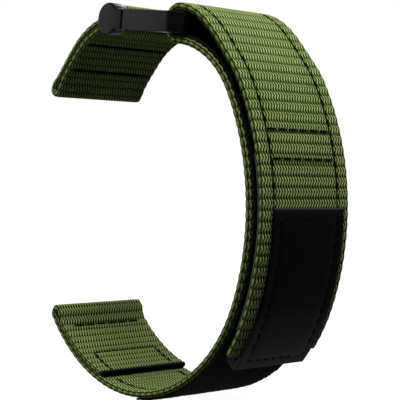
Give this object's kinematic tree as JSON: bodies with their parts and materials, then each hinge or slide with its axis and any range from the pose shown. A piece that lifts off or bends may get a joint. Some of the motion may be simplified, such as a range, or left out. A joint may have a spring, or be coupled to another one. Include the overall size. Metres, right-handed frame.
{
  "type": "woven hook-and-loop watch strap",
  "caption": "Woven strap with a pinned frame buckle: the long end passes round the crossbar, folds back and closes on itself with hook and loop tape.",
  "frame": {"origin": "middle of the long strap's lug tunnel, halfway across the strap", "axes": "+X from the watch to the back of the wrist, +Y across the strap along both lug tunnels, +Z from the long strap's lug end to the short strap's lug end"},
  "size_m": [0.0594, 0.026, 0.0709],
  "materials": {
    "webbing": "olive green woven nylon with cross ribs",
    "loop_tape": "black brushed loop pile",
    "hook_tape": "black moulded hooks",
    "tab": "black smooth coated leather-look sheet, stitched",
    "end_bar": "black, moulded",
    "buckle": "black satin",
    "pins": "bright steel"
  },
  "bodies": {
    "long_strap": {"long_webbing": "webbing", "webbing_end_bar": "end_bar", "loop_tape": "loop_tape", "webbing_fold": "webbing", "loop_tape_fold": "loop_tape"},
    "tail": {"tail_webbing": "webbing", "tail_loop_tape": "loop_tape", "hook_tape": "hook_tape", "pull_tab_front": "tab", "pull_tab_back": "tab"},
    "buckle": {"buckle_frame": "buckle", "eye_block_near": "buckle", "eye_block_far": "buckle", "frame_dowel_near": "pins", "frame_dowel_far": "pins", "hinge_pin": "pins"},
    "short_strap": {"short_webbing": "webbing"}
  },
  "joints": [
    {"name": "tail_peel", "type": "hinge", "parent": "long_strap", "child": "tail", "pos_m": [0.036, 0, 0.05198], "axis": [0, -1, 0], "range_deg": [0, 110], "deforming": ["webbing_fold", "loop_tape_fold"]},
    {"name": "buckle_tilt", "type": "hinge", "parent": "long_strap", "child": "buckle", "pos_m": [0.036, 0, 0.05198], "axis": [0, -1, 0], "range_deg": [-10, 3]},
    {"name": "strap_hinge", "type": "hinge", "parent": "buckle", "child": "short_strap", "pos_m": [0.02015, 0, 0.0542], "axis": [0, -1, 0], "range_deg": [-100, 90]}
  ]
}
